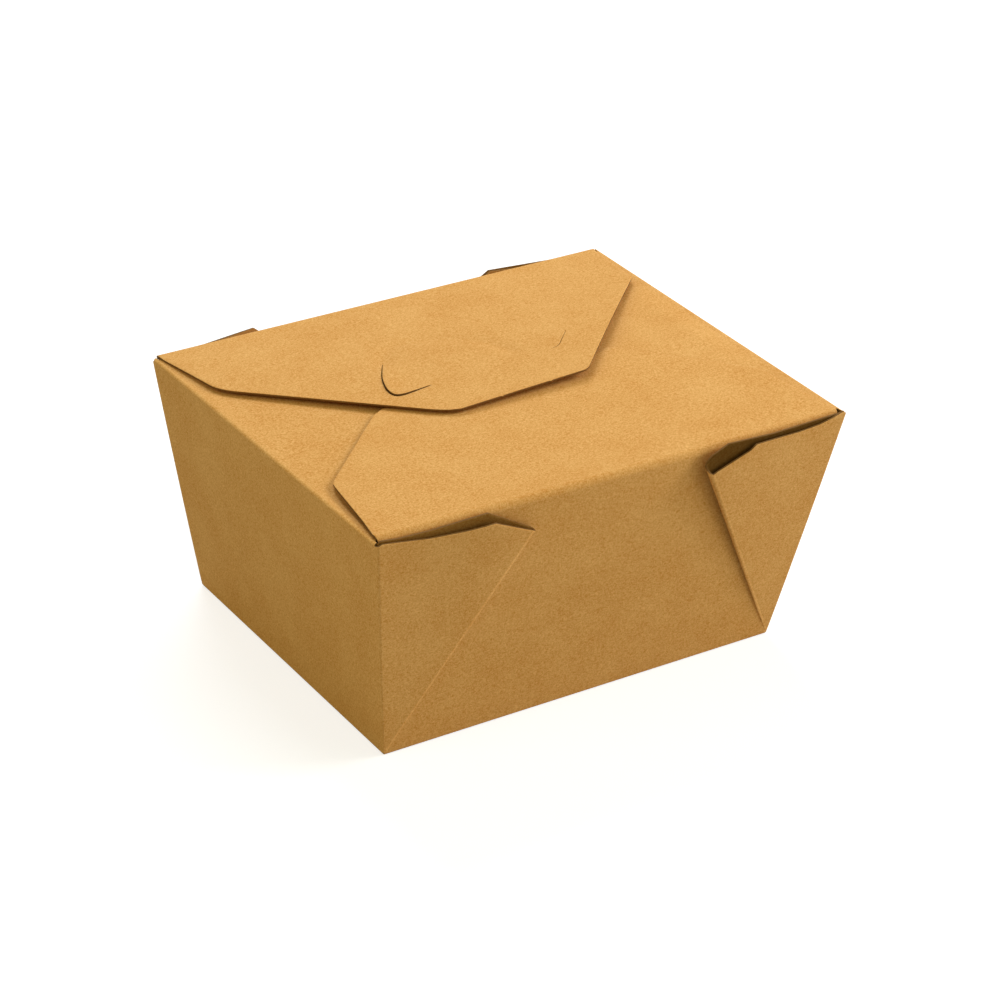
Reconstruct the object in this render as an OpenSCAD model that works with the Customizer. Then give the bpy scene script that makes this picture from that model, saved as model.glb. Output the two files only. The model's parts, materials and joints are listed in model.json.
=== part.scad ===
// Folded takeaway box of kraft board: one die-cut sheet with gusseted corners, closed by four flaps.
// The base stands on z = 0 with its centre at the origin. X runs along the front, which faces -Y.

/* [Box] */
// Length of the base, over the outside of the corners
base_length = 111; // [90:1:150]
// Depth of the base from front to back, over the outside of the corners
base_depth = 88; // [70:1:120]
// Height from the table to the top of the front flap
height = 63; // [45:1:90]
// How far each end wall leans out beyond the base at the rim
end_overhang = 9.5; // [4:0.5:14]
// How far the front and back walls lean out beyond the base at the rim
long_overhang = 8; // [4:0.5:12]

/* [Board] */
// Thickness of the kraft board
board = 0.45; // [0.3:0.05:0.6]
// Gap between a long wall and the gusset layer folded back on it
inner_gap = 0.15; // [0.1:0.05:0.4]
// Gap between the two layers of a gusset
layer_gap = 0.25; // [0.1:0.05:0.5]

/* [Gussets] */
// Height of the top edge of a gusset at the corner, along the corner
gusset_corner = 62.6; // [60:0.2:63]
// Distance of the gusset's shoulder from the corner
gusset_shoulder = 6; // [4:0.5:10]
// How far the top edge drops from the corner to the shoulder
shoulder_drop = 1.6; // [1:0.1:3]
// Distance at which the top edge is cut off towards the tip
gusset_cut = 29; // [24:1:33]
// How far the top edge drops from the corner to that cut
cut_drop = 5; // [4:0.2:8]
// Length of the fold along the gusset's diagonal, from the base to the tip
gusset_fold = 63; // [60:0.5:66]
// How far the left front gusset springs open
front_left_spring = 1.6; // [0:0.2:6]
// How far the right front gusset springs open
front_right_spring = 4.4; // [0:0.2:6]
// How far the back gussets spring open
back_spring = 12; // [6:0.5:16]

/* [Front flap] */
// Middle radius of the soft fold along the front
front_fold_radius = 2.2; // [1:0.1:4]
// Half the width of the front flap at its fold
front_flap_root = 62.6; // [60:0.2:63]
// Half the width of the front flap at its side corners
front_flap_side = 60; // [56:0.5:61]
// Depth of the front flap at its side corners, from the front of the rim
front_side_depth = 26; // [18:1:34]
// Half the width of the rear edge of the front flap
front_flap_rear = 35; // [30:1:42]
// Depth of the front flap from the front of the rim
front_flap_depth = 52.5; // [46:0.5:56]
// Radius of the corners of the front flap
front_flap_corner = 3; // [1:0.5:4]
// Half the width of the tongue on the rear edge
tongue_width = 20; // [14:1:24]
// How much narrower the tongue is at its end, on each side
tongue_taper = 4; // [0:0.5:6]
// Radius of the corners at the end of the tongue
tongue_corner = 12; // [4:1:14]
// How far the tongue reaches beyond the rear edge
tongue_reach = 22; // [16:1:24]

/* [End flaps] */
// Middle radius of the fold along an end wall
end_fold_radius = 0.8; // [0.5:0.1:1.5]
// Gap between the end flaps and the front flap over them
end_flap_gap = 0.7; // [0.4:0.1:1.2]
// How far the end flaps sag below level
end_flap_sag = 1.2; // [0:0.2:3]
// Depth of an end flap
end_flap_depth = 42; // [34:1:48]
// Half the width of an end flap at its side corners
end_flap_side = 47; // [42:0.5:49]
// Half the width of an end flap at its free edge
end_flap_edge = 30; // [22:1:36]
// Depth of an end flap at its side corners
end_side_depth = 5; // [3:0.5:8]
// Radius of an end flap's side corners
end_side_corner = 4; // [1:0.5:6]
// Radius of the corners of an end flap's free edge
end_edge_corner = 8; // [2:1:12]
// How far the root of an end flap stops short of the wall's corners
end_root_gap = 0.9; // [0.6:0.1:2]

/* [Top flap] */
// Half the width of the top flap at its hinge
top_flap_root = 64; // [60:0.5:64]
// Half the width of the top flap at its side corners
top_flap_side = 61; // [56:0.5:62]
// Depth of the top flap at its side corners
top_side_depth = 21.5; // [14:0.5:30]
// Half the width of the front edge of the top flap
top_flap_front = 21; // [16:1:28]
// Depth of the top flap from hinge to front edge
top_flap_depth = 61.5; // [54:0.5:66]
// Radius of the side corners of the top flap
top_side_corner = 2; // [1:0.5:6]
// Radius of the front corners of the top flap
top_front_corner = 3; // [1:0.5:6]
// How far the closed top flap rises from its hinge to its front edge, in degrees
top_flap_rise = 3; // [2:0.2:5]
// Radius of the creased bead that the top flap turns on
bead_radius = 0.45; // [0.35:0.05:0.6]
// How far the hinge lies below the top of the front flap
hinge_drop = 0.1; // [0:0.05:0.4]
// Running clearance between the bead and the back wall
hinge_clearance = 0.15; // [0.1:0.05:0.3]

/* [Lock] */
// Distance of the lock cut's left corner from the middle of the top flap
lock_left = 30; // [24:0.5:32]
// Distance of the lock cut's right corner from the middle
lock_right = 20; // [14:0.5:24]
// Distance left of the middle at which the open end of the cut passes into the shut rest
lock_meet = 14; // [8:0.5:18]
// Distance of the lock cut from the front edge of the top flap
lock_setback = 13.5; // [9:0.5:18]
// Radius of the cut's corners
lock_bend = 3; // [1:0.5:4]
// How far the left end of the cut runs back towards the hinge
lock_left_rise = 17; // [10:0.5:22]
// How far the left end of the cut leans in towards the middle
lock_left_lean = 9.5; // [4:0.5:12]
// How far the right end of the cut runs back towards the hinge
lock_right_rise = 7.5; // [5:0.5:14]
// How far the right end of the cut runs out to the side
lock_right_run = 8; // [4:0.5:10]
// Width of the cut where it stands open, at its left end
lock_open = 0.7; // [0.4:0.1:1.2]
// Width of the rest of the cut, which is nearly shut
lock_shut = 0.25; // [0.15:0.05:0.5]

/* [Hidden] */
$fn = 48;
KRAFT = [0.80, 0.60, 0.34];
KRAFT_FLAP = [0.87, 0.67, 0.40];
// How far flat board runs into a bend, so that the two are one piece
lap = 0.12;
// How much creased board swells on each side
swell = 0.02;
// How much shorter a flap's root or a foot crease is than what it joins, at each end
root_margin = 0.3;
// How far the folds at a corner run on below the base, where they are cut off level with it
foot_run = 1;
// How far the open and the shut stretch of the lock cut run into each other
cut_overlap = 1;

// Turning radii at a corner, measured to the middle of the board, about the corner's own line
inner_turn = (inner_gap + board) / 2;
outer_turn = inner_gap / 2 + board + layer_gap + board / 2;
corner_inset = outer_turn + board / 2;

// The four corner lines run from the base to the rim and carry every wall
base_x = base_length / 2 - corner_inset;
base_y = base_depth / 2 - corner_inset;
long_lean = atan(long_overhang / height);
end_lean = atan(end_overhang / height);
long_slant = height / cos(long_lean);
end_slant = height / cos(end_lean);
long_flare = atan(end_overhang / long_slant);
end_flare = atan(long_overhang / end_slant);
gusset_angle = (90 - long_flare - end_flare) / 2;
corner_turn = acos(sin(long_lean) * sin(end_lean));

// Heights of the middle of each flap at its fold, from the top one down
front_flap_level = height - board / 2;
end_flap_level = front_flap_level - board - end_flap_gap;
hinge_level = height - hinge_drop;

// Distance up a wall at which it stands at a given level; the wall lies at an offset from its corner lines
function slant_at(level, offset, lean) = (level + offset * sin(lean)) / cos(lean);
// Distance up a wall at which it starts to turn into a flap that lies at a given level
function fold_start(level, offset, radius, lean) = slant_at(level - radius, offset - radius, lean);
// Half the width of a wall at a distance up its slant
function long_half(v) = base_x + v * tan(long_flare);
function end_half(v) = base_y + v * tan(end_flare);

long_foot = slant_at(board / 2, -inner_turn, long_lean);
end_foot = slant_at(board / 2, outer_turn, end_lean);
floor_x = base_x + end_foot * sin(end_lean) + outer_turn * cos(end_lean);
floor_y = base_y + long_foot * sin(long_lean) - inner_turn * cos(long_lean);
hinge_slant = slant_at(hinge_level, -inner_turn, long_lean);
hinge_y = base_y + hinge_slant * sin(long_lean) - inner_turn * cos(long_lean);

// Points of an outline with some of its corners turned into arcs
ARC_STEPS = 8;
function unit(v) = v / norm(v);
function arc(centre, radius, from, sweep) =
    [for (i = [0 : ARC_STEPS]) centre + radius * [cos(from + sweep * i / ARC_STEPS),
                                                  sin(from + sweep * i / ARC_STEPS)]];
function corner_arc(a, b, c, radius) =
    let (u = unit(a - b), w = unit(c - b), half = acos(u * w) / 2,
         centre = b + unit(u + w) * radius / sin(half),
         first = b + u * radius / tan(half) - centre,
         last = b + w * radius / tan(half) - centre,
         from = atan2(first.y, first.x),
         raw = atan2(last.y, last.x) - from,
         sweep = raw > 180 ? raw - 360 : raw < -180 ? raw + 360 : raw)
    arc(centre, radius, from, sweep);
function rounded(points, radii) =
    let (n = len(points))
    [for (i = [0 : n - 1])
        each radii[i] > 0 ? corner_arc(points[(i + n - 1) % n], points[i], points[(i + 1) % n], radii[i])
                          : [points[i]]];
// An outline that is the same on both sides, from the points of its right half in order
function both_sides(half) =
    concat(half, [for (i = [len(half) - 1 : -1 : 0]) [-half[i].x, half[i].y]]);
function both_radii(radii) = concat(radii, [for (i = [len(radii) - 1 : -1 : 0]) radii[i]]);

// A panel of board with its middle on the drawing plane
module panel(outline) {
    linear_extrude(board, center = true) polygon(outline);
}

// Board bent round the Z axis, starting at +X and turning towards +Y
module bend(radius, turn, length) {
    thick = board + 2 * swell;
    rotate_extrude(angle = turn) translate([radius - thick / 2, 0]) square([thick, length]);
}

// Places things on a wall: X along it, Y up its slant, Z outwards
module on_wall(turn, half_depth, lean) {
    rotate([0, 0, turn]) translate([0, -half_depth, 0]) rotate([90 + lean, 0, 0]) children();
}

// Places things past a fold that turns inwards: Y away from the fold, Z on the board's outer side
module past_fold(start, offset, radius, turn) {
    translate([0, start, offset - radius]) rotate([-turn, 0, 0]) translate([0, 0, radius]) children();
}

// The bent strip of board at such a fold
module fold_strip(start, offset, radius, turn, length) {
    translate([-length / 2, start, offset - radius])
        rotate([0, 90, 0]) rotate([0, 0, 180 - turn]) bend(radius, turn, length);
}

// The round outside of the crease at the foot of a wall
module foot_crease(foot, offset, half) {
    reach = half - root_margin;
    translate([-reach, foot, offset]) rotate([0, 90, 0]) cylinder(r = board / 2 + swell, h = 2 * reach);
}

// Outline of either layer of a gusset: X from the corner, Y along it, from its foot round to its tip
function gusset_outline() =
    let (fold = [sin(gusset_angle), cos(gusset_angle)], over = lap * [fold.y, -fold.x])
    [[-lap, -lap * (1 + fold.y) / fold.x],
     [-lap, gusset_corner],
     [gusset_shoulder, gusset_corner - shoulder_drop],
     [gusset_cut, gusset_corner - cut_drop],
     gusset_fold * fold + over];

// The two-layer web at the left corner of a long wall, in the wall's own place.
// The board runs from the wall round the corner line, out to the diagonal fold, and back to the end wall.
module gusset(spring) {
    half_gap = (outer_turn - inner_turn) / 2;
    layer = gusset_outline();
    translate([-base_x, 0, 0]) rotate([0, 0, long_flare]) {
        // Folded back on the wall
        translate([0, -foot_run, 0]) rotate([-90, 0, 0]) rotate([0, 0, 90])
            bend(inner_turn, 180 - spring, gusset_corner + foot_run);
        // Turned round the corner from the end wall
        translate([0, -foot_run, 0]) rotate([-90, 0, 0]) rotate([0, 0, 270 - corner_turn])
            bend(outer_turn, corner_turn - spring, gusset_corner + foot_run);
        rotate([0, -spring, 0]) {
            translate([0, 0, inner_turn]) panel(layer);
            translate([0, 0, outer_turn]) panel(layer);
            translate([0, 0, inner_turn + half_gap]) rotate([0, 0, -gusset_angle])
                translate([0, -foot_run, 0]) rotate([-90, 0, 0]) rotate([0, 0, -90])
                    bend(half_gap, 180, gusset_fold + foot_run);
        }
    }
}

// A front or back wall from its foot to a distance up its slant, with both of its gussets
module long_wall(top, left_spring, right_spring) {
    offset = -inner_turn;
    translate([0, 0, offset])
        panel(both_sides([[long_half(long_foot) + lap, long_foot], [long_half(top) + lap, top]]));
    foot_crease(long_foot, offset, long_half(long_foot));
    gusset(left_spring);
    mirror([1, 0, 0]) gusset(right_spring);
}

// The front wall, its soft fold and the flap that it carries
module front_wall() {
    offset = -inner_turn;
    turn = 90 + long_lean;
    start = fold_start(front_flap_level, offset, front_fold_radius, long_lean);
    // Where the flap comes flat out of its fold, measured back from the front of the rim
    fold_y = base_y + start * sin(long_lean) + (offset - front_fold_radius) * cos(long_lean);
    fold_depth = base_depth / 2 + long_overhang - fold_y;
    side_y = front_side_depth - fold_depth;
    rear_y = front_flap_depth - fold_depth;
    long_wall(start + lap, front_left_spring, front_right_spring);
    fold_strip(start, offset, front_fold_radius, turn, 2 * front_flap_root);
    past_fold(start, offset, front_fold_radius, turn)
        panel(rounded(both_sides([
                [front_flap_root - root_margin, -lap],
                [front_flap_side, side_y],
                [front_flap_rear, rear_y],
                [tongue_width, rear_y],
                [tongue_width - tongue_taper, rear_y + tongue_reach]]),
            both_radii([0, front_flap_corner, front_flap_corner, front_flap_corner, tongue_corner])));
}

// The back wall, which ends just below the hinge of the top flap
module back_wall() {
    long_wall(hinge_slant - bead_radius - hinge_clearance, back_spring, back_spring);
}

// An end wall, its crease and the flap folded in over the opening
module end_wall() {
    turn = 90 + end_lean + end_flap_sag;
    start = fold_start(end_flap_level, outer_turn, end_fold_radius, end_lean);
    root = end_half(start) - end_root_gap;
    translate([0, 0, outer_turn])
        panel(both_sides([[end_half(end_foot) + lap, end_foot], [end_half(start) + lap, start + lap]]));
    foot_crease(end_foot, outer_turn, end_half(end_foot));
    fold_strip(start, outer_turn, end_fold_radius, turn, 2 * root);
    past_fold(start, outer_turn, end_fold_radius, turn)
        panel(rounded(both_sides([
                [root - root_margin, -lap],
                [end_flap_side, end_side_depth],
                [end_flap_edge, end_flap_depth]]),
            both_radii([0, end_side_corner, end_edge_corner])));
}

module folded_box() {
    color(KRAFT) difference() {
        union() {
            translate([-floor_x, -floor_y, 0]) cube([2 * floor_x, 2 * floor_y, board]);
            on_wall(0, base_y, long_lean) front_wall();
            on_wall(180, base_y, long_lean) back_wall();
            on_wall(90, base_x, end_lean) end_wall();
            on_wall(270, base_x, end_lean) end_wall();
        }
        // Nothing reaches below the base
        translate([-base_length, -base_depth, -height]) cube([2 * base_length, 2 * base_depth, height]);
    }
}

// Centre lines of the two stretches of the lock cut; Y is minus the distance from the hinge
lock_line = lock_setback - top_flap_depth;
function lock_open_stretch() =
    let (end = [lock_left_lean - lock_left, lock_line + lock_left_rise],
         corner = [-lock_left, lock_line],
         middle = [-lock_meet, lock_line])
    concat([end], corner_arc(end, corner, middle, lock_bend), [middle]);
function lock_shut_stretch() =
    let (middle = [-lock_meet - cut_overlap, lock_line],
         corner = [lock_right, lock_line],
         end = [lock_right + lock_right_run, lock_line + lock_right_rise])
    concat([middle], corner_arc(middle, corner, end, lock_bend), [end]);

// Outline of a cut of one width along a line of points
function side_of(path, i, width) =
    let (n = len(path), along = unit(path[min(i + 1, n - 1)] - path[max(i - 1, 0)]))
    path[i] + width / 2 * [-along.y, along.x];
function cut_outline(path, width) =
    concat([for (i = [0 : len(path) - 1]) side_of(path, i, width)],
           [for (i = [len(path) - 1 : -1 : 0]) side_of(path, i, -width)]);

module top_flap() {
    color(KRAFT_FLAP) translate([0, hinge_y, hinge_level]) {
        translate([-top_flap_root, 0, 0]) rotate([0, 90, 0]) cylinder(r = bead_radius, h = 2 * top_flap_root);
        rotate([-top_flap_rise, 0, 0]) difference() {
            panel(rounded(both_sides([
                    [top_flap_root, 0],
                    [top_flap_side, -top_side_depth],
                    [top_flap_front, -top_flap_depth]]),
                both_radii([0, top_side_corner, top_front_corner])));
            linear_extrude(4 * board, center = true) {
                polygon(cut_outline(lock_open_stretch(), lock_open));
                polygon(cut_outline(lock_shut_stretch(), lock_shut));
            }
        }
    }
}

folded_box();
top_flap();
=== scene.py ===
"""Looks of a folded takeaway box of kraft board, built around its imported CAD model.

The box is one die-cut sheet. Its base, walls and gussets are one wrapped sheet of board whose grid runs
right round the box, through the two layers of each corner gusset. The end flaps and the front flap go on
from its rim. The top flap turns on its own body and carries the lock cut.
"""

import json
import logging
import math
from dataclasses import dataclass, field, replace
from enum import Enum
from typing import Callable, Sequence

import bpy
import numpy as np
from mathutils import Matrix


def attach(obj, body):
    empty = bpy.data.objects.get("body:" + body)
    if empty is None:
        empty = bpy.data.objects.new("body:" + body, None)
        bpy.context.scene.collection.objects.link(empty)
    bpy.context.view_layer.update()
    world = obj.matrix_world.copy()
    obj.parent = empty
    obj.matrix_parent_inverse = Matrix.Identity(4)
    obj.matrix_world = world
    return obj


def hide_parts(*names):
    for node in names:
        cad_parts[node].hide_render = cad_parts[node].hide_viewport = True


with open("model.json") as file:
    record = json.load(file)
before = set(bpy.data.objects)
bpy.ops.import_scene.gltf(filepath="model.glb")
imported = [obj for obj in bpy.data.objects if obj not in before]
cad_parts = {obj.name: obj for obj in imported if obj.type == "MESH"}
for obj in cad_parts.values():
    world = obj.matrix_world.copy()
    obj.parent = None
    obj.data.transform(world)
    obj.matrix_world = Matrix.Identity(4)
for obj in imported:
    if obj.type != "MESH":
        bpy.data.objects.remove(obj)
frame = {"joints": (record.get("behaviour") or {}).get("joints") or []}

MM = 0.001
LOG = logging.getLogger("takeaway_box")
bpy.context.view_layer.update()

# Painted shades, by the names of the fields of Station that hold them.
POCKET_SHADE = "pocket_shade"
GAP_SHADE = "gap_shade"

# Angles between faces, under which an edge is shaded smooth and over which it is bevelled.
SMOOTH_BELOW = math.radians(50.0)
BEVEL_ABOVE = math.radians(60.0)

# About half the width of the top flap's free edge, at which the twist of both closing flaps is given.
LID_HALF = 19.5 * MM

# How much closer the rows of an inner flap lie near its crease, with 1 for even rows.
ROW_EASE = 1.5

Points = np.ndarray
Shape = Callable[[Points], Points]
Outline = tuple[tuple[float, float], ...]


class Face(Enum):
    """The long walls of the box, by the way they face along Y."""

    FRONT = -1
    BACK = 1


class Side(Enum):
    """The ends of the box, by the way they face along X."""

    LEFT = -1
    RIGHT = 1


def unit(vector: Points) -> Points:
    """Returns a vector scaled to length one."""
    return vector / np.linalg.norm(vector)


def smooth(x: Points) -> Points:
    """Returns the smooth step from 0 to 1 of values that run from 0 to 1."""
    held = np.clip(x, 0.0, 1.0)
    return held * held * (3.0 - 2.0 * held)


def blend(a: Points, b: Points, share: float) -> Points:
    """Returns the point that lies a share of the way from a to b."""
    return a + (b - a) * share


def in_mm(*pairs: tuple[float, float]) -> Outline:
    """Returns pairs of lengths that are given in millimetres."""
    return tuple((a * MM, b * MM) for a, b in pairs)


def graded(count: int, ease: float = 0.8) -> Points:
    """Lists rising shares from 0 to 1 that lie closer together near both ends.

    Args:
        count: number of steps.
        ease: how much closer the end steps lie, from 0 for even steps to just under 1.

    Returns:
        The shares, one more than there are steps.
    """
    even = np.linspace(0.0, 1.0, count + 1)
    return even - ease * np.sin(2.0 * math.pi * even) / (2.0 * math.pi)


def curve_through(points: Sequence[tuple[float, float]], steps: int) -> Points:
    """Draws a smooth plane curve through a few points.

    Args:
        points: the points, in order.
        steps: number of steps from each point to the next.

    Returns:
        Points along the curve.
    """
    held = np.array([points[0], *points, points[-1]])
    made = []
    for a, b, c, d in zip(held, held[1:], held[2:], held[3:]):
        for i in range(steps):
            t = i / steps
            made.append(0.5 * (2 * b + (c - a) * t + (2 * a - 5 * b + 4 * c - d) * t**2
                               + (3 * b - a - 3 * c + d) * t**3))
    return np.array([*made, held[-1]])


def to_curve(points: Points, path: Points) -> tuple[Points, Points, Points]:
    """Measures how points lie beside a plane curve.

    Args:
        points: the points, of which the first two coordinates count.
        path: points along the curve.

    Returns:
        The distance of each point, its side (1 left of the curve, -1 right of it), and the share of the
        way along the curve at which it lies.
    """
    best = np.full(len(points), np.inf)
    side = np.ones(len(points))
    share = np.zeros(len(points))
    for i, (a, b) in enumerate(zip(path, path[1:])):
        run = b - a
        offset = points[:, :2] - a
        t = np.clip(offset @ run / (run @ run), 0.0, 1.0)
        away = offset - t[:, None] * run
        distance = np.hypot(away[:, 0], away[:, 1])
        nearer = distance < best
        best = np.where(nearer, distance, best)
        side = np.where(nearer, np.sign(run[0] * offset[:, 1] - run[1] * offset[:, 0]), side)
        share = np.where(nearer, (i + t) / (len(path) - 1), share)
    return best, side, share


@dataclass(frozen=True)
class Board:
    """The kraft board that the whole box is cut from.

    Attributes:
        thickness: thickness of the board.
        edge_softness: how far the cut edges are rounded off.
    """

    thickness: float = 0.45 * MM
    edge_softness: float = 0.09 * MM


@dataclass(frozen=True)
class BoxSizes:
    """Sizes of the folded box, to the middle of the board, in the frame of the CAD model.

    Attributes:
        foot_x: half the length of the base at the corner lines.
        foot_y: half the depth of the base at the corner lines.
        rim_x: half the length of the rim at the corner lines.
        rim_y: half the depth of the rim at the corner lines.
        height: height of the top of the corner lines.
        foot_radius: radius of the crease round the base.
        front_level: height of the middle of the front flap at its fold.
        front_fold: radius of the soft fold along the front.
        end_level: height of the middle of an end flap at its fold.
        end_fold: radius of the crease along an end wall.
        back_top: height of the top edge of the back wall.
    """

    foot_x: float = 55.3 * MM
    foot_y: float = 43.8 * MM
    rim_x: float = 63.7 * MM
    rim_y: float = 50.8 * MM
    height: float = 63.0 * MM
    foot_radius: float = 0.4 * MM
    front_level: float = 62.95 * MM
    front_fold: float = 1.5 * MM
    end_level: float = 62.6 * MM
    end_fold: float = 0.35 * MM
    back_top: float = 62.4 * MM


@dataclass(frozen=True)
class Skew:
    """How far one corner line stands off the plain form, because the folded box is slightly racked.

    Attributes:
        foot: how far its foot is moved, along X and Y.
        rim: how far its top is moved, along X and Y.
    """

    foot: tuple[float, float]
    rim: tuple[float, float]


@dataclass(frozen=True, kw_only=True)
class GussetLook:
    """How one corner gusset lies against its long wall.

    Attributes:
        spring: angle by which the gusset stands off the wall, in degrees.
        inner_turn: radius of the fold from the wall to the inner layer, at the rim.
        outer_turn: radius of the bend from the end wall to the outer layer, at the rim.
        fold_lag: how far the diagonal fold falls short of the middle of the web, in degrees.
        tip_gap: extra gap between the layers at the tip of the diagonal fold.
        pocket: how far the outer layer bellies away from the inner one near the rim.
        shade: painted shade, how much darker the inside of the gusset's pocket is painted than the rest of
            the inside.
        gap_shade: painted shade, how much darker the board is painted in the gap between the gusset and
            its long wall.
        outer_edge: top edge of the outer layer, as distances across from the corner line and up along it.
        inner_edge: top edge of the inner layer, likewise.
    """

    spring: float
    inner_turn: float = 0.42 * MM
    outer_turn: float = 1.05 * MM
    fold_lag: float
    tip_gap: float
    pocket: float
    shade: float
    gap_shade: float
    outer_edge: Outline
    inner_edge: Outline


@dataclass(frozen=True)
class Crease:
    """A crease painted lighter as a faint line: a painted highlight where the fold catches light, with
    some wear.

    Attributes:
        start: a point on it.
        along: its direction.
        half_width: distance from it at which the light line has faded.
    """

    start: Points
    along: Points
    half_width: float


def grid(name: str, columns: int, rows: int) -> tuple[bpy.types.Object, Points, Points]:
    """Adds a plain grid with the grid primitive.

    Args:
        name: name of the new object.
        columns: number of cells along X.
        rows: number of cells along Y.

    Returns:
        The object, and the column and the row number of each of its vertices.
    """
    bpy.ops.object.select_all(action="DESELECT")
    bpy.ops.mesh.primitive_grid_add(x_subdivisions=columns, y_subdivisions=rows, size=1.0)
    made = bpy.context.active_object
    made.name = name
    made.data.name = name
    flat = coordinates(made)
    across = np.rint((flat[:, 0] + 0.5) * columns).astype(int)
    along = np.rint((flat[:, 1] + 0.5) * rows).astype(int)
    return made, across, along


def coordinates(piece: bpy.types.Object) -> Points:
    """Reads the places of a mesh's vertices.

    Args:
        piece: the piece to read.

    Returns:
        The places, one to a row.
    """
    flat = np.zeros(len(piece.data.vertices) * 3)
    piece.data.vertices.foreach_get("co", flat)
    return flat.reshape(-1, 3)


def place(piece: bpy.types.Object, points: Points) -> None:
    """Moves the vertices of a mesh to the given places."""
    piece.data.vertices.foreach_set("co", np.ascontiguousarray(points, dtype=float).ravel())
    piece.data.update()


def choose(piece: bpy.types.Object) -> None:
    """Makes a piece the active object and the only one that is selected.

    Args:
        piece: the piece to choose.
    """
    bpy.ops.object.select_all(action="DESELECT")
    piece.select_set(True)
    bpy.context.view_layer.objects.active = piece


def apply_modifier(piece: bpy.types.Object, kind: str, **settings: object) -> None:
    """Adds a modifier to a piece and applies it.

    Args:
        piece: the piece to change.
        kind: the modifier's type.
        **settings: values for the modifier's own settings.
    """
    choose(piece)
    added = piece.modifiers.new(kind.lower(), kind)
    for setting, value in settings.items():
        setattr(added, setting, value)
    bpy.ops.object.modifier_apply(modifier=added.name)


def add_slots(piece: bpy.types.Object, count: int) -> None:
    """Adds empty material slots to a piece until it has the given number of them."""
    while len(piece.data.materials) < count:
        piece.data.materials.append(None)


def in_edit_mode(piece: bpy.types.Object, work: Callable[[], None]) -> None:
    """Runs mesh operators on the whole mesh of a piece in edit mode.

    Args:
        piece: the piece to edit.
        work: the operators to run.
    """
    choose(piece)
    bpy.ops.object.mode_set(mode="EDIT")
    bpy.ops.mesh.select_all(action="SELECT")
    work()
    bpy.ops.object.mode_set(mode="OBJECT")


def thicken(piece: bpy.types.Object, thickness: float) -> None:
    """Gives a sheet its thickness, with the second material on its cut edges and the third inside.

    Args:
        piece: the sheet.
        thickness: its thickness, half of it to each side.
    """
    add_slots(piece, 3)
    apply_modifier(piece, "SOLIDIFY", thickness=thickness, offset=0.0, material_offset_rim=1,
                   material_offset=2)
    in_edit_mode(piece, lambda: bpy.ops.mesh.normals_make_consistent(inside=False))


def soften_edges(piece: bpy.types.Object, width: float) -> None:
    """Bevels the cut edges of a board, with the second material on the bevels."""
    apply_modifier(piece, "BEVEL", width=width, segments=1, limit_method="ANGLE",
                   angle_limit=BEVEL_ABOVE, material=1, use_clamp_overlap=True)


def join(pieces: Sequence[bpy.types.Object], merge_distance: float) -> bpy.types.Object:
    """Joins sheets of one board and welds the borders that they share.

    Args:
        pieces: the sheets, of which the first takes the others in.
        merge_distance: how close two border points lie to be one.

    Returns:
        The joined sheet.
    """
    bpy.ops.object.select_all(action="DESELECT")
    for piece in pieces:
        piece.select_set(True)
    bpy.context.view_layer.objects.active = pieces[0]
    bpy.ops.object.join()
    whole = bpy.context.active_object

    def weld() -> None:
        """Merges doubles, drops faces without area and turns all faces outwards."""
        bpy.ops.mesh.remove_doubles(threshold=merge_distance)
        bpy.ops.mesh.dissolve_degenerate(threshold=merge_distance)
        bpy.ops.mesh.normals_make_consistent(inside=False)

    in_edit_mode(whole, weld)
    return whole


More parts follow.
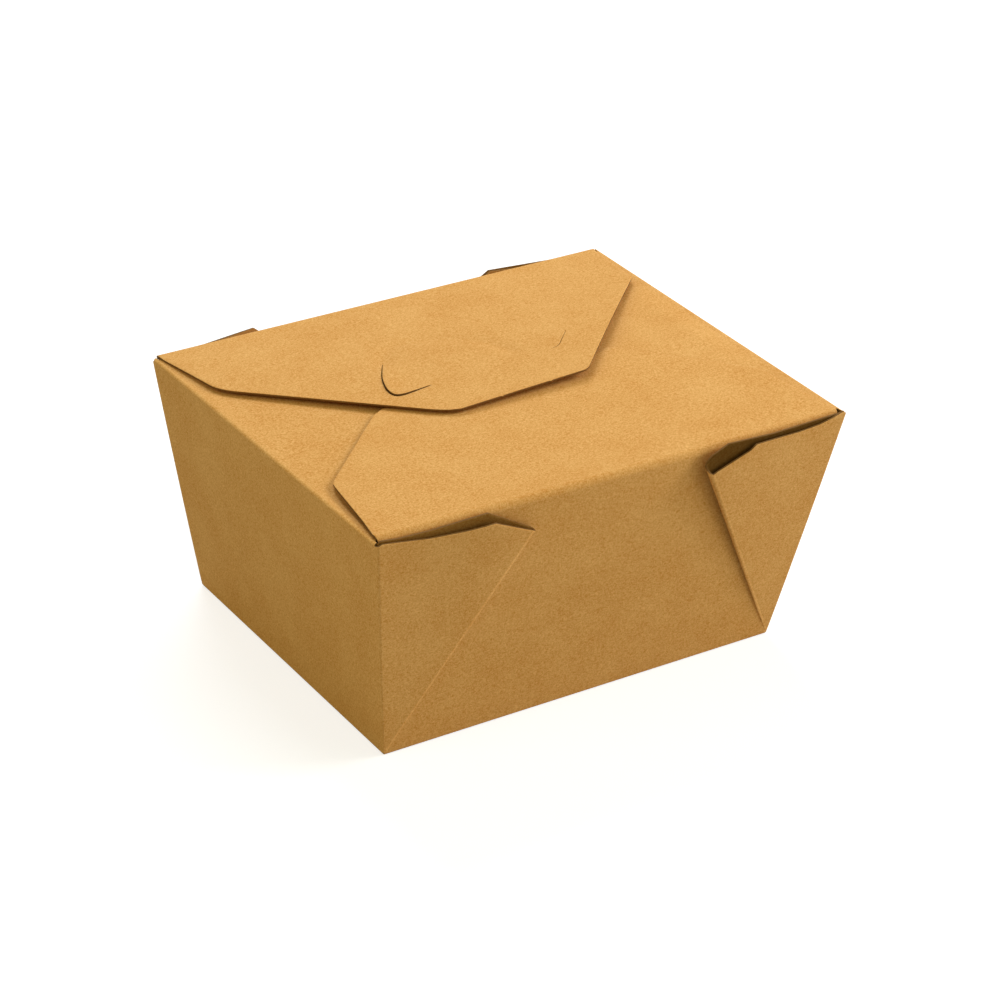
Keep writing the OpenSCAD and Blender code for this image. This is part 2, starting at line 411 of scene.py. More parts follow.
class Corner:
    """One corner of the box, with the line that its layers fold round and its two-layer gusset."""

    def __init__(self, sizes: BoxSizes, face: Face, side: Side, look: GussetLook, skew: Skew,
                 start: float) -> None:
        """Works out the corner's line and directions.

        Args:
            sizes: sizes of the box.
            face: the long wall that the gusset lies on.
            side: the end wall at this corner.
            look: how the gusset lies.
            skew: how far the corner line stands off the plain form.
            start: height of the corner line's foot.
        """
        self.look = look
        self.foot = np.array([side.value * sizes.foot_x + skew.foot[0],
                              face.value * sizes.foot_y + skew.foot[1], start])
        top = np.array([side.value * sizes.rim_x + skew.rim[0],
                        face.value * sizes.rim_y + skew.rim[1], sizes.height])
        along_base = np.array([1.0, 0.0, 0.0])
        along_end = np.array([0.0, 1.0, 0.0])
        self.along = unit(top - self.foot)
        self.length = float(np.linalg.norm(top - self.foot))
        out = np.cross(along_base, self.along)
        self.out = unit(out * np.sign(out[1]) * face.value)
        end_out = np.cross(along_end, self.along)
        self.end_out = unit(end_out * np.sign(end_out[0]) * side.value)
        across = np.cross(self.along, self.out)
        self.across = unit(across * -np.sign(across[0]) * side.value)
        flare_long = math.acos(abs(float(np.dot(self.along, unit(np.cross(self.out, along_base))))))
        flare_end = math.acos(abs(float(np.dot(self.along, unit(np.cross(self.end_out, along_end))))))
        self.fold_angle = (math.pi / 2 - flare_long - flare_end) / 2 - math.radians(look.fold_lag)
        self.end_angle = math.asin(float(np.dot(self.end_out, self.out)))
        lean = math.radians(look.spring)
        self.lifted_across = math.cos(lean) * self.across + math.sin(lean) * self.out
        self.lifted_out = math.cos(lean) * self.out - math.sin(lean) * self.across
        self.layer_angle = math.pi / 2 - lean

    def growth(self, along: Points) -> Points:
        """Works out how far the folds have opened on the way up the corner line.

        Args:
            along: distances along the corner line.

        Returns:
            Shares, from 0 at the foot to 1 at the rim.
        """
        share = along / self.length
        start_rate = 1.5
        return share * (start_rate - (start_rate - 1.0) * share)

    def turned(self, along: Points, radius: float, angle: float, crisp: bool = False) -> Points:
        """Places points on a fold round the corner line.

        Args:
            along: distances along the corner line.
            radius: radius of the fold at the rim.
            angle: angle round the line, from the end wall's side towards the long wall's outside.
            crisp: True for the creased bend from the end wall to the outer layer, which is nearly sharp.

        Returns:
            One point for each distance.
        """
        direction = -math.cos(angle) * self.across + math.sin(angle) * self.out
        if crisp:
            sharpness = 9.0
            near_end = max(math.cos(angle - self.end_angle), 0.0) ** sharpness
            near_layer = max(math.cos(angle - self.layer_angle), 0.0) ** sharpness
            radius = radius * (near_end + near_layer) ** (-1.0 / sharpness)
        reach = (radius * self.growth(along))[:, None]
        return self.foot + along[:, None] * self.along + reach * direction

    def ray(self, angle: float) -> Points:
        """Returns the direction in the gusset's plane at an angle from the corner line."""
        return math.sin(angle) * self.lifted_across + math.cos(angle) * self.along

    def stand_off(self, along: Points, angle: float, outer: bool) -> Points:
        """Works out how far a layer stands off the corner line's plane.

        Args:
            along: distances from the foot along the ray.
            angle: angle of the ray from the corner line.
            outer: True for the outer layer.

        Returns:
            One distance for each point.
        """
        base = self.look.outer_turn if outer else self.look.inner_turn
        off = base * self.growth(along)
        if outer:
            share = angle / self.fold_angle
            rise = np.clip(along / self.length, 0.0, 1.0) ** 2
            belly_towards_fold = 1.6
            off = off + self.look.tip_gap * rise * share**2
            off = off + self.look.pocket * rise**2 * math.sin(math.pi * share**belly_towards_fold)
        return off

    def layer(self, along: Points, angle: float, outer: bool) -> Points:
        """Places points along a ray of one layer of the gusset."""
        off = self.stand_off(along, angle, outer)[:, None]
        return self.foot + along[:, None] * self.ray(angle) + off * self.lifted_out

    def diagonal(self, along: Points, turn: float) -> Points:
        """Places points on the fold that joins the two layers.

        Args:
            along: distances along the fold.
            turn: angle round the fold, from -90 degrees at the inner layer to 90 at the outer one.

        Returns:
            One point for each distance.
        """
        inner = self.stand_off(along, self.fold_angle, False)
        outer = self.stand_off(along, self.fold_angle, True)
        middle = ((inner + outer) / 2)[:, None]
        radius = ((outer - inner) / 2)[:, None]
        aside = math.cos(self.fold_angle) * self.lifted_across - math.sin(self.fold_angle) * self.along
        around = math.cos(turn) * aside + math.sin(turn) * self.lifted_out
        on_fold = self.foot + along[:, None] * self.ray(self.fold_angle)
        return on_fold + middle * self.lifted_out + radius * around

    def reach(self, angle: float, outer: bool) -> float:
        """Works out how far a ray runs before it meets the layer's cut top edge.

        Args:
            angle: angle of the ray from the corner line.
            outer: True for the outer layer.

        Returns:
            The length of the ray.
        """
        edge = self.look.outer_edge if outer else self.look.inner_edge
        across, along = math.sin(angle), math.cos(angle)
        parallel, slack = 1e-12, 1e-6
        for (x0, y0), (x1, y1) in zip(edge, edge[1:]):
            run_x, run_y = x1 - x0, y1 - y0
            cross = across * run_y - along * run_x
            if abs(cross) < parallel:
                continue
            share = (x0 * along - y0 * across) / cross
            if -slack <= share <= 1.0 + slack:
                return (x0 * run_y - y0 * run_x) / cross
        return math.hypot(*edge[-1])

    def edge_angles(self, outer: bool, count: int) -> list[float]:
        """Lists the rays of a layer: even steps, with one through each corner of its cut edge.

        Args:
            outer: True for the outer layer.
            count: number of even steps.

        Returns:
            Angles from the corner line, rising.
        """
        edge = self.look.outer_edge if outer else self.look.inner_edge
        corners = [math.atan2(x, y) for x, y in edge[1:-1]]
        even = [self.fold_angle * i / count for i in range(count + 1)]
        nearest = 0.4
        gap = self.fold_angle / count * nearest
        kept = [a for a in even if all(abs(a - c) > gap for c in corners)]
        return sorted(kept + corners)


@dataclass
class Station:
    """One line of the wrapped sheet, from its foot to its cut edge.

    Attributes:
        points: places points at the given distances along the line.
        top: length of the line.
        foot: which corner of the base the line starts from, as shares of the base's half sizes.
        pocket_shade: painted shade, how much darker the board's inside is painted along the line, deep in
            a gusset's pocket.
        gap_shade: painted shade, how much darker the board's outside is painted along the line, in the gap
            under a gusset.
    """

    points: Shape
    top: float
    foot: tuple[float, float]
    pocket_shade: float = 0.0
    gap_shade: float = 0.0


@dataclass
class WrappedSheet:
    """The base, walls and gussets, as one sheet wrapped round the box.

    Attributes:
        sizes: sizes of the box.
        looks: how each gusset lies, by the long wall and the end that it belongs to.
        skews: how far each corner line stands off the plain form, likewise.
        long_columns: number of cells along a long wall.
        end_columns: number of cells along an end wall.
        layer_columns: number of cells across a gusset layer.
        fold_columns: number of cells round each fold of a gusset.
        rows: number of cells up a wall.
        foot_rows: number of cells round the crease at the foot.
        base_rise: how far the middle of the base stands above its border.
        dip: how far the left end wall's fold lies below its level at the front.
        dip_from: place along Y at which that starts.
        dip_run: distance in which it comes to its full depth.
        gusset_highlight_and_wear: distance from a front gusset's fold at which its painted highlight and
            wear have faded.
        rim_highlight_and_wear: the same for the left end wall's rim.
        corners: the four corner lines, which are worked out from the rest.
        BOW: how far a wall bows out at half its height and at its rim, with None for the end walls.
    """

    BOW = {Face.FRONT: (0.25 * MM, 0.30 * MM), Face.BACK: (0.30 * MM, 0.0), None: (0.25 * MM, 0.0)}

    sizes: BoxSizes
    looks: dict[tuple[Face, Side], GussetLook]
    skews: dict[tuple[Face, Side], Skew]
    long_columns: int = 56
    end_columns: int = 44
    layer_columns: int = 14
    fold_columns: int = 9
    rows: int = 34
    foot_rows: int = 4
    base_rise: float = 0.25 * MM
    dip: float = 0.7 * MM
    dip_from: float = 20.0 * MM
    dip_run: float = 70.0 * MM
    gusset_highlight_and_wear: float = 0.55 * MM
    rim_highlight_and_wear: float = 0.7 * MM
    corners: dict[tuple[Face, Side], Corner] = field(default_factory=dict)

    def __post_init__(self) -> None:
        """Works out the four corners."""
        for (face, side), look in self.looks.items():
            skew = self.skews[face, side]
            self.corners[face, side] = Corner(self.sizes, face, side, look, skew, self.foot_height())

    def lean(self) -> float:
        """Returns the mean lean of the walls, as an angle."""
        run = (self.sizes.rim_x - self.sizes.foot_x + self.sizes.rim_y - self.sizes.foot_y) / 2
        return math.atan(run / self.sizes.height)

    def foot_height(self) -> float:
        """Returns the height at which the crease round the base has turned into the walls."""
        return BOARD.thickness / 2 + self.sizes.foot_radius * (1.0 - math.sin(self.lean()))

    def wall_bow(self, face: Face | None, u: float, v: Points) -> Points:
        """Works out how far a wall bows outwards.

        Args:
            face: the long wall, or None for an end wall.
            u: place along the wall, from -1 to 1.
            v: shares of the way up the wall.

        Returns:
            One distance for each share.
        """
        at_middle, at_rim = self.BOW[face]
        swell = (1.0 - u**2) * np.sin(math.pi * np.clip(v, 0.0, 1.0))
        rim = (1.0 - u**2) * v**3
        return at_middle * swell + at_rim * rim

    def wall_top(self, face: Face | None, corner: Corner) -> float:
        """Works out how far up its corner line a wall runs before it folds or ends.

        Args:
            face: the long wall, or None for an end wall.
            corner: a corner that the wall runs to.

        Returns:
            A distance along the corner line.
        """
        sizes = self.sizes
        if face is Face.FRONT:
            level = sizes.front_level - sizes.front_fold * (1.0 + math.sin(self.lean()))
        elif face is Face.BACK:
            level = sizes.back_top
        else:
            level = sizes.end_level - sizes.end_fold * (1.0 + math.sin(self.lean()))
        return (level - corner.foot[2]) / float(corner.along[2])

    def rim_dip(self, side: Side | None, y: float) -> float:
        """Works out how far an end wall's fold lies below its level.

        Args:
            side: the end wall, or None for a long wall.
            y: the place along the wall.

        Returns:
            One distance.
        """
        if side is not Side.LEFT:
            return 0.0
        return self.dip * min(max((self.dip_from - y) / self.dip_run, 0.0), 1.0)

    def lit_worn_creases(self) -> list[Crease]:
        """Lists the creases that are painted as light lines: painted highlights where the folds catch
        light, with some wear.

        Returns:
            The folds of the two front gussets, then the rim of the left end wall.
        """
        half = BOARD.thickness / 2
        made = []
        for side in Side:
            corner = self.corners[Face.FRONT, side]
            start = corner.foot + half * corner.lifted_out
            off = corner.look.outer_turn + corner.look.tip_gap
            along = corner.length * corner.ray(corner.fold_angle) + off * corner.lifted_out
            made.append(Crease(start, along, self.gusset_highlight_and_wear))
        ends = []
        for corner in (self.corners[Face.BACK, Side.LEFT], self.corners[Face.FRONT, Side.LEFT]):
            top = self.wall_top(None, corner) - self.rim_dip(Side.LEFT, corner.foot[1])
            ends.append(corner.turned(np.array([top]), corner.look.outer_turn, corner.end_angle, True)[0])
        lift = np.array([-half, 0.0, self.sizes.end_fold + half])
        made.append(Crease(ends[0] + lift, ends[1] - ends[0], self.rim_highlight_and_wear))
        return made

    def wall_stations(self, start: Corner, end: Corner, face: Face | None,
                      side: Side | None) -> list[Station]:
        """Lists the lines of one wall, from one corner to the next.

        Args:
            start: the corner that the wall starts from.
            end: the corner that it runs to.
            face: the long wall, or None for an end wall.
            side: the end wall, or None for a long wall.

        Returns:
            The wall's lines, with those on its two corner folds.
        """
        columns = self.long_columns if face else self.end_columns
        level_top = self.wall_top(face, start)
        rim_y = self.sizes.rim_y
        normal = (start.out + end.out) / 2 if face else (start.end_out + end.end_out) / 2
        made = []
        for share in graded(columns):
            y = blend(math.copysign(rim_y, start.foot[1]), math.copysign(rim_y, end.foot[1]), share)
            top = level_top - self.rim_dip(side, y)

            def points(along: Points, share: float = share, top: float = top) -> Points:
                """Places points on one line of the wall.

                Args:
                    along: distances along the line.
                    share: place of the line between the two corners, from 0 to 1.
                    top: length of the line.

                Returns:
                    One point for each distance.
                """
                if face:
                    first = start.turned(along, start.look.inner_turn, -math.pi / 2)
                    last = end.turned(along, end.look.inner_turn, -math.pi / 2)
                else:
                    first = start.turned(along, start.look.outer_turn, start.end_angle, True)
                    last = end.turned(along, end.look.outer_turn, end.end_angle, True)
                bow = self.wall_bow(face, 2 * share - 1, along / top)
                return blend(first, last, share) + bow[:, None] * normal

            foot = blend(np.sign(start.foot[:2]), np.sign(end.foot[:2]), share)
            made.append(Station(points, top, (float(foot[0]), float(foot[1]))))
        return made

    def gusset_stations(self, corner: Corner, face: Face) -> list[Station]:
        """Lists the lines of one gusset, from its long wall to its end wall.

        Args:
            corner: the corner that the gusset belongs to.
            face: the long wall that it lies on.

        Returns:
            The gusset's lines, without those on the two walls.
        """
        look = corner.look
        foot = (float(np.sign(corner.foot[0])), float(np.sign(corner.foot[1])))
        made = []
        steps = self.fold_columns
        wall_top = self.wall_top(face, corner)
        inner_top = corner.reach(0.0, False)
        # The pocket's lines carry painted shade for the inside, and those against the wall carry it for
        # the outside.
        for i in range(1, steps):
            share = i / steps
            angle = -math.pi / 2 + (corner.layer_angle + math.pi / 2) * share
            made.append(Station(lambda s, a=angle: corner.turned(s, look.inner_turn, a),
                                blend(wall_top, inner_top, share), foot, look.shade * share,
                                look.gap_shade * share))
        for angle in corner.edge_angles(False, self.layer_columns):
            made.append(Station(lambda s, a=angle: corner.layer(s, a, False),
                                corner.reach(angle, False), foot, look.shade, look.gap_shade))
        inner_tip = corner.reach(corner.fold_angle, False)
        outer_tip = corner.reach(corner.fold_angle, True)
        for i in range(1, steps):
            share = i / steps
            turn = math.pi * (share - 0.5)
            made.append(Station(lambda s, a=turn: corner.diagonal(s, a),
                                blend(inner_tip, outer_tip, share), foot, look.shade,
                                look.gap_shade * float(1.0 - smooth(2.0 * share))))
        for angle in reversed(corner.edge_angles(True, self.layer_columns)):
            made.append(Station(lambda s, a=angle: corner.layer(s, a, True),
                                corner.reach(angle, True), foot, look.shade))
        side = Side(int(np.sign(corner.foot[0])))
        end_top = self.wall_top(None, corner) - self.rim_dip(side, face.value * self.sizes.rim_y)
        outer_top = corner.reach(0.0, True)
        for i in range(1, steps):
            share = i / steps
            angle = corner.layer_angle + (corner.end_angle - corner.layer_angle) * share
            made.append(Station(lambda s, a=angle: corner.turned(s, look.outer_turn, a, True),
                                blend(outer_top, end_top, share), foot, look.shade * (1.0 - share)))
        return made

    def stations(self) -> list[Station]:
        """Lists the lines of the whole sheet, once round the box.

        Returns:
            The lines, from the front wall's left end on, with the first of them once more at the end.
        """
        front_left = self.corners[Face.FRONT, Side.LEFT]
        front_right = self.corners[Face.FRONT, Side.RIGHT]
        back_left = self.corners[Face.BACK, Side.LEFT]
        back_right = self.corners[Face.BACK, Side.RIGHT]
        lines = self.wall_stations(front_left, front_right, Face.FRONT, None)
        lines += self.gusset_stations(front_right, Face.FRONT)
        lines += self.wall_stations(front_right, back_right, None, Side.RIGHT)
        lines += reversed(self.gusset_stations(back_right, Face.BACK))
        lines += self.wall_stations(back_right, back_left, Face.BACK, None)
        lines += self.gusset_stations(back_left, Face.BACK)
        lines += self.wall_stations(back_left, front_left, None, Side.LEFT)
        lines += reversed(self.gusset_stations(front_left, Face.FRONT))
        lines.append(lines[0])
        return lines

    def base_skew(self, x: Points, y: Points) -> Points:
        """Works out how far the base stands off the plain form, at shares of its half sizes.

        Args:
            x: shares of the half length, from -1 to 1.
            y: shares of the half depth, from -1 to 1.

        Returns:
            One offset along X and Y for each place.
        """
        total = np.zeros((*np.shape(x), 2))
        for (face, side), skew in self.skews.items():
            weight = (1.0 + side.value * x) / 2 * (1.0 + face.value * y) / 2
            total += np.asarray(weight)[..., None] * np.array(skew.foot)
        return total

    def foot_points(self, foot: tuple[float, float]) -> Points:
        """Places points round the crease from the base to the foot of a wall.

        Args:
            foot: where the line stands, as shares of the base's half sizes.

        Returns:
            Points from the base's border up to just below the wall.
        """
        sizes = self.sizes
        turn = (math.pi / 2 - self.lean()) * np.arange(self.foot_rows) / self.foot_rows
        full = math.cos(self.lean())
        inset = sizes.foot_radius * (full - np.sin(turn))
        height = BOARD.thickness / 2 + sizes.foot_radius * (1.0 - np.cos(turn))
        off = self.base_skew(np.array(foot[0]), np.array(foot[1]))
        x = foot[0] * (sizes.foot_x - inset) + off[0]
        y = foot[1] * (sizes.foot_y - inset) + off[1]
        return np.stack([x, y, height], axis=1)

    def build_walls(self) -> bpy.types.Object:
        """Makes the walls and gussets from one grid, wrapped round the box.

        Returns:
            The sheet, still without thickness.
        """
        lines = self.stations()
        rows = self.foot_rows + self.rows
        made, across, along = grid("walls", len(lines) - 1, rows)
        share = graded(self.rows)
        columns = []
        for line in lines:
            upper = line.points(share * line.top)
            columns.append(np.vstack([self.foot_points(line.foot), upper]))
        table = np.array(columns)
        place(made, table[across, along])
        # Painted shade in and under the gussets, kept per vertex for the materials.
        for name in (POCKET_SHADE, GAP_SHADE):
            shades = np.array([getattr(line, name) for line in lines])
            made.data.attributes.new(name, "FLOAT", "POINT").data.foreach_set("value", shades[across])
        return made

    def build_base(self) -> bpy.types.Object:
        """Makes the base from one grid that meets the feet of the walls.

        Returns:
            The sheet, still without thickness.
        """
        sizes = self.sizes
        made, across, along = grid("base", self.long_columns, self.end_columns)
        x = 2.0 * graded(self.long_columns)[across] - 1.0
        y = 2.0 * graded(self.end_columns)[along] - 1.0
        inset = sizes.foot_radius * math.cos(self.lean())
        rise = self.base_rise * (1.0 - x**4) * (1.0 - y**4)
        off = self.base_skew(x, y)
        place(made, np.stack([x * (sizes.foot_x - inset) + off[:, 0],
                              y * (sizes.foot_y - inset) + off[:, 1],
                              BOARD.thickness / 2 + rise], axis=1))
        return made


@dataclass(frozen=True)
class FlapOutline:
    """How the half width of a flap narrows from its root to its free edge.

    Attributes:
        stops: depths from the root, with the half width there, in order.
        rounding: how far the outline's corners are softened.
    """

    stops: Outline
    rounding: float

    def half_width(self, depth: Points) -> Points:
        """Works out the half width, with the corners between the stops softened.

        Args:
            depth: distances from the root.

        Returns:
            One half width for each depth.
        """
        depths = np.array([d for d, _ in self.stops])
        widths = np.array([w for _, w in self.stops])
        spread = np.linspace(-1.0, 1.0, 9) * self.rounding
        held = [np.interp(np.clip(depth + s, depths[0], depths[-1]), depths, widths) for s in spread]
        near_end = (depth > depths[-1] - self.rounding) | (depth < depths[0] + self.rounding)
        plain = np.interp(depth, depths, widths)
        return np.where(near_end, plain, np.mean(held, axis=0))

    def drawn_in(self, depth: Points, radius: float) -> Points:
        """Works out the half width with the free corners rounded as well.

        Args:
            depth: distances from the root.
            radius: radius of the free corners.

        Returns:
            One half width for each depth.
        """
        end = self.stops[-1][0]
        inwards, almost_round = 0.6, 0.999
        near = np.clip((depth - (end - radius)) / radius, 0.0, 1.0)
        return self.half_width(depth) - radius * inwards * (1.0 - np.sqrt(1.0 - near**2 * almost_round))


BOARD = Board()


@dataclass
class FrontFlap:
    """The front flap with its soft fold and the tongue on its rear edge.

    Attributes:
        sheet: the wrapped sheet that carries the flap.
        left: the half widths of the flap's left side by depth, from the end of the fold.
        right: the same for its right side.
        tongue: the tongue's half widths by depth, from the rear edge.
        fold_rows: number of cells round the fold.
        flap_rows: number of cells from the fold to the rear edge.
        tongue_rows: number of cells along the tongue.
        left_corner: radius of the free corner on the left.
        right_corner: radius of the free corner on the right.
        tongue_corner: radius of the tongue's free corners.
        RISE: how far the middle of the flap's rear edge has sprung up, in millimetres.
        TWIST: how much more that is at the lid's half width to the right, and less to the left.
    """

    RISE = 1.15
    TWIST = 0.6

    sheet: WrappedSheet
    left: FlapOutline
    right: FlapOutline
    tongue: FlapOutline
    fold_rows: int = 12
    flap_rows: int = 44
    tongue_rows: int = 20
    left_corner: float = 3.0 * MM
    right_corner: float = 1.2 * MM
    tongue_corner: float = 8.0 * MM

    def height_at(self, x: Points, depth: float) -> Points:
        """Works out how far the sprung flap lies above its level at its fold.

        Args:
            x: places across the flap.
            depth: distance from the fold.

        Returns:
            One height for each place.
        """
        twist_left, twist_right = -1.6, 1.1
        full_depth, ease = 50.0 * MM, 1.3
        across = np.clip(x / LID_HALF, twist_left, twist_right)
        return MM * (self.RISE + self.TWIST * across) * (depth / full_depth) ** ease

    def table(self) -> Points:
        """Places the fold's and the flap's points, by column and row.

        Returns:
            The points, with the top of the front wall first.
        """
        sheet = self.sheet
        fold = sheet.sizes.front_fold
        left = sheet.corners[Face.FRONT, Side.LEFT]
        right = sheet.corners[Face.FRONT, Side.RIGHT]
        lines = sheet.wall_stations(left, right, Face.FRONT, None)
        rim = np.array([line.points(np.array([line.top]))[0] for line in lines])
        lean = sheet.lean()
        u = 2.0 * graded(sheet.long_columns) - 1.0
        made = np.zeros((len(rim), self.fold_rows + self.flap_rows + 1, 3))
        root_half = np.where(u < 0.0, self.left.stops[0][1], self.right.stops[0][1])
        for j in range(self.fold_rows + 1):
            share = j / self.fold_rows
            turn = (math.pi / 2 + lean) * share - lean
            made[:, j, 0] = blend(rim[:, 0], u * root_half, share)
            made[:, j, 1] = rim[:, 1] - fold * (math.cos(turn) - math.cos(lean))
            made[:, j, 2] = rim[:, 2] + fold * (math.sin(turn) + math.sin(lean))
        root = made[:, self.fold_rows]
        length = self.left.stops[-1][0]
        for j in range(1, self.flap_rows + 1):
            depth = length * (j / self.flap_rows) ** ROW_EASE
            left_half = self.left.drawn_in(np.array([depth]), self.left_corner)[0]
            right_half = self.right.drawn_in(np.array([depth]), self.right_corner)[0]
            half = np.where(u < 0.0, left_half, right_half)
            row = self.fold_rows + j
            made[:, row, 0] = u * half
            made[:, row, 1] = root[:, 1] + depth
            made[:, row, 2] = root[:, 2] + self.height_at(u * half, depth)
        return made

    def build(self) -> bpy.types.Object:
        """Makes the fold and the flap from one grid that goes on from the top of the front wall.

        Returns:
            The sheet, still without thickness.
        """
        table = self.table()
        made, across, along = grid("front_flap", table.shape[0] - 1, table.shape[1] - 1)
        place(made, table[across, along])
        return made

    def build_tongue(self) -> bpy.types.Object:
        """Makes the tongue, which goes on from the middle of the flap's rear edge.

        Returns:
            The sheet, still without thickness.
        """
        rear = self.table()[:, -1]
        edge = rear[np.abs(rear[:, 0]) <= self.tongue.stops[0][1]]
        rows = self.tongue_rows
        made, across, along = grid("tongue", len(edge) - 1, rows)
        depth = self.tongue.stops[-1][0] * np.arange(rows + 1) / rows
        half = self.tongue.drawn_in(depth, self.tongue_corner)
        share = edge[:, 0] / np.max(np.abs(edge[:, 0]))
        table = np.repeat(edge[:, None, :], rows + 1, axis=1)
        table[:, 1:, 0] = share[:, None] * half[None, 1:]
        table[:, :, 1] += depth
        place(made, table[across, along])
        return made


@dataclass
class EndFlap:
    """An end flap with the crease along its end wall.

    Attributes:
        sheet: the wrapped sheet that carries the flap.
        side: the end of the box that it belongs to.
        outline: the flap's half widths by depth, from the end of the crease.
        rest_level: height at which the flap lies under the front flap.
        settling: distance from the crease in which it comes down to that height.
        sag: how much lower it lies towards the front.
        sag_from: place along Y at which the sag starts.
        sag_run: distance in which it comes to its full depth.
        hinge_sag: how much lower it lies beside the top flap's hinge.
        hinge_from: place along Y at which that starts.
        hinge_run: distance in which it comes to its full depth.
        fold_rows: number of cells round the crease.
        flap_rows: number of cells from the crease to the free edge.
        free_corner: radius of the free corners.
    """

    sheet: WrappedSheet
    side: Side
    outline: FlapOutline
    rest_level: float
    settling: float
    sag: float
    sag_from: float
    sag_run: float
    hinge_sag: float = 0.0
    hinge_from: float = 18.0 * MM
    hinge_run: float = 30.0 * MM
    fold_rows: int = 8
    flap_rows: int = 34
    free_corner: float = 7.0 * MM

    def table(self) -> Points:
        """Places the crease's and the flap's points, by column and row.

        Returns:
            The points, with the top of the end wall first.
        """
        sheet = self.sheet
        fold = sheet.sizes.end_fold
        start, end = (Face.FRONT, self.side), (Face.BACK, self.side)
        if self.side is Side.LEFT:
            start, end = end, start
        lines = sheet.wall_stations(sheet.corners[start], sheet.corners[end], None, self.side)
        rim = np.array([line.points(np.array([line.top]))[0] for line in lines])
        lean = sheet.lean()
        outwards = self.side.value
        made = np.zeros((len(rim), self.fold_rows + self.flap_rows + 1, 3))
        for j in range(self.fold_rows + 1):
            turn = (math.pi / 2 + lean) * j / self.fold_rows - lean
            made[:, j, 0] = rim[:, 0] + outwards * fold * (math.cos(turn) - math.cos(lean))
            made[:, j, 1] = rim[:, 1]
            made[:, j, 2] = rim[:, 2] + fold * (math.sin(turn) + math.sin(lean))
        root = made[:, self.fold_rows]
        u = rim[:, 1] / np.max(np.abs(rim[:, 1]))
        length = self.outline.stops[-1][0]
        for j in range(1, self.flap_rows + 1):
            depth = length * (j / self.flap_rows) ** ROW_EASE
            row = self.fold_rows + j
            made[:, row, 0] = root[:, 0] - outwards * depth
            made[:, row, 1] = u * self.outline.drawn_in(np.array([depth]), self.free_corner)[0]
            settled = smooth(np.array(depth / self.settling))
            y = made[:, row, 1]
            near_front = smooth((self.sag_from - y) / self.sag_run)
            near_hinge = smooth((y - self.hinge_from) / self.hinge_run)
            level = self.rest_level - self.sag * near_front - self.hinge_sag * near_hinge
            made[:, row, 2] = blend(root[:, 2], level, settled)
        return made

    def build(self) -> bpy.types.Object:
        """Makes the crease and the flap from one grid that goes on from the top of the end wall.

        Returns:
            The sheet, still without thickness.
        """
        table = self.table()
        name = f"end_flap_{self.side.name.lower()}"
        made, across, along = grid(name, table.shape[0] - 1, table.shape[1] - 1)
        place(made, table[across, along])
        return made


@dataclass
class FoldedBox:
    """Everything that is one with the base: walls, gussets, end flaps and front flap.

    Attributes:
        sheet: the base, walls and gussets.
        front: the front flap.
        ends: the two end flaps.
        weld: how close the border points of two sheets lie to be one.
    """

    sheet: WrappedSheet
    front: FrontFlap
    ends: tuple[EndFlap, EndFlap]
    weld: float = 0.012 * MM

    def build(self) -> bpy.types.Object:
        """Makes the folded sheet, welds it, gives it thickness and softens its cut edges.

        Returns:
            The finished sheet.
        """
        parts = [self.sheet.build_walls(), self.sheet.build_base(), self.front.build(),
                 self.front.build_tongue()]
        parts += [flap.build() for flap in self.ends]
        whole = join(parts, self.weld)
        whole.name = "folded_box_sheet"
        thicken(whole, BOARD.thickness)
        soften_edges(whole, BOARD.edge_softness)
        return whole


